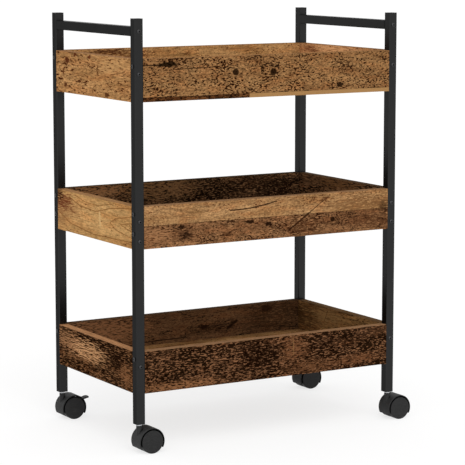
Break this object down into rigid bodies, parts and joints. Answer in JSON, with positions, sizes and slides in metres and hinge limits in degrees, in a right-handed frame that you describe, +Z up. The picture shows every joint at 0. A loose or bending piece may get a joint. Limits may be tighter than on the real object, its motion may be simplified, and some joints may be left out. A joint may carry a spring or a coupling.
{
  "type": "kitchen cart",
  "caption": "Rolling kitchen cart: wood-decor box trays between black square-tube posts, with side handle rails and hooded twin-wheel swivel castors, the back ones braked.",
  "frame": {"origin": "on the floor, under the centre of the bounding box; the castors trail to +X, so the middle of the four posts lies 20.8 mm to -X of it", "axes": "+X along the trays' length towards the right, +Y from front to back, +Z up"},
  "size_m": [0.573, 0.335, 0.7375],
  "materials": {
    "powder_coat": "matte black powder coat",
    "decor_board": "weathered plank decor on engineered wood",
    "dowel_wood": "plain beech",
    "black_screw": "black oxide",
    "zinc_steel": "zinc plated",
    "wheel_plastic": "fine matte moulded",
    "black_plastic": "fine matte moulded"
  },
  "bodies": {
    "frame": {"back_left_castor_stem": "zinc_steel", "back_left_post": "powder_coat", "back_right_castor_stem": "zinc_steel", "back_right_post": "powder_coat", "bottom_tray_back_board": "decor_board", "bottom_tray_dowels": "dowel_wood", "bottom_tray_floor": "decor_board", "bottom_tray_front_board": "decor_board", "bottom_tray_left_board": "decor_board", "bottom_tray_right_board": "decor_board", "bottom_tray_screws": "black_screw", "front_left_castor_stem": "zinc_steel", "front_left_post": "powder_coat", "front_right_castor_stem": "zinc_steel", "front_right_post": "powder_coat", "handle_end_plugs": "black_plastic", "handle_screws": "black_screw", "left_handle_rail": "powder_coat", "middle_tray_back_board": "decor_board", "middle_tray_dowels": "dowel_wood", "middle_tray_floor": "decor_board", "middle_tray_front_board": "decor_board", "middle_tray_left_board": "decor_board", "middle_tray_right_board": "decor_board", "middle_tray_screws": "black_screw", "post_caps": "black_plastic", "post_foot_plugs": "black_plastic", "right_handle_rail": "powder_coat", "top_tray_back_board": "decor_board", "top_tray_dowels": "dowel_wood", "top_tray_floor": "decor_board", "top_tray_front_board": "decor_board", "top_tray_left_board": "decor_board", "top_tray_right_board": "decor_board", "top_tray_screws": "black_screw"},
    "front_left_castor": {"front_left_castor_axle": "zinc_steel", "front_left_castor_hood": "black_plastic"},
    "front_left_castor_front_wheel": {"front_left_castor_front_wheel": "wheel_plastic"},
    "front_left_castor_back_wheel": {"front_left_castor_back_wheel": "wheel_plastic"},
    "front_right_castor": {"front_right_castor_axle": "zinc_steel", "front_right_castor_hood": "black_plastic"},
    "front_right_castor_front_wheel": {"front_right_castor_front_wheel": "wheel_plastic"},
    "front_right_castor_back_wheel": {"front_right_castor_back_wheel": "wheel_plastic"},
    "back_left_castor": {"back_left_castor_axle": "zinc_steel", "back_left_castor_hood": "black_plastic", "back_left_castor_lever_pin": "zinc_steel"},
    "back_left_castor_front_wheel": {"back_left_castor_front_wheel": "wheel_plastic"},
    "back_left_castor_back_wheel": {"back_left_castor_back_wheel": "wheel_plastic"},
    "back_left_castor_brake_lever": {"back_left_castor_brake_lever": "black_plastic"},
    "back_right_castor": {"back_right_castor_axle": "zinc_steel", "back_right_castor_hood": "black_plastic", "back_right_castor_lever_pin": "zinc_steel"},
    "back_right_castor_front_wheel": {"back_right_castor_front_wheel": "wheel_plastic"},
    "back_right_castor_back_wheel": {"back_right_castor_back_wheel": "wheel_plastic"},
    "back_right_castor_brake_lever": {"back_right_castor_brake_lever": "black_plastic"}
  },
  "joints": [
    {"name": "front_left_castor_swivel", "type": "hinge", "parent": "frame", "child": "front_left_castor", "pos_m": [-0.2763, -0.1495, 0.045], "axis": [0, 0, 1], "continuous": true},
    {"name": "front_left_castor_front_wheel_spin", "type": "hinge", "parent": "front_left_castor", "child": "front_left_castor_front_wheel", "pos_m": [-0.2593, -0.1495, 0.02], "axis": [0, 1, 0], "continuous": true},
    {"name": "front_left_castor_back_wheel_spin", "type": "hinge", "parent": "front_left_castor", "child": "front_left_castor_back_wheel", "pos_m": [-0.2593, -0.1495, 0.02], "axis": [0, 1, 0], "continuous": true},
    {"name": "front_right_castor_swivel", "type": "hinge", "parent": "frame", "child": "front_right_castor", "pos_m": [0.2347, -0.1495, 0.045], "axis": [0, 0, 1], "continuous": true},
    {"name": "front_right_castor_front_wheel_spin", "type": "hinge", "parent": "front_right_castor", "child": "front_right_castor_front_wheel", "pos_m": [0.2517, -0.1495, 0.02], "axis": [0, 1, 0], "continuous": true},
    {"name": "front_right_castor_back_wheel_spin", "type": "hinge", "parent": "front_right_castor", "child": "front_right_castor_back_wheel", "pos_m": [0.2517, -0.1495, 0.02], "axis": [0, 1, 0], "continuous": true},
    {"name": "back_left_castor_swivel", "type": "hinge", "parent": "frame", "child": "back_left_castor", "pos_m": [-0.2763, 0.1495, 0.045], "axis": [0, 0, 1], "continuous": true},
    {"name": "back_left_castor_front_wheel_spin", "type": "hinge", "parent": "back_left_castor", "child": "back_left_castor_front_wheel", "pos_m": [-0.2593, 0.1495, 0.02], "axis": [0, 1, 0], "continuous": true},
    {"name": "back_left_castor_back_wheel_spin", "type": "hinge", "parent": "back_left_castor", "child": "back_left_castor_back_wheel", "pos_m": [-0.2593, 0.1495, 0.02], "axis": [0, 1, 0], "continuous": true},
    {"name": "back_left_castor_brake_press", "type": "hinge", "parent": "back_left_castor", "child": "back_left_castor_brake_lever", "pos_m": [-0.25075, 0.1495, 0.03753], "axis": [0, 1, 0], "range_deg": [0, 7.5]},
    {"name": "back_right_castor_swivel", "type": "hinge", "parent": "frame", "child": "back_right_castor", "pos_m": [0.2347, 0.1495, 0.045], "axis": [0, 0, 1], "continuous": true},
    {"name": "back_right_castor_front_wheel_spin", "type": "hinge", "parent": "back_right_castor", "child": "back_right_castor_front_wheel", "pos_m": [0.2517, 0.1495, 0.02], "axis": [0, 1, 0], "continuous": true},
    {"name": "back_right_castor_back_wheel_spin", "type": "hinge", "parent": "back_right_castor", "child": "back_right_castor_back_wheel", "pos_m": [0.2517, 0.1495, 0.02], "axis": [0, 1, 0], "continuous": true},
    {"name": "back_right_castor_brake_press", "type": "hinge", "parent": "back_right_castor", "child": "back_right_castor_brake_lever", "pos_m": [0.26025, 0.1495, 0.03753], "axis": [0, 1, 0], "range_deg": [0, 7.5]}
  ]
}
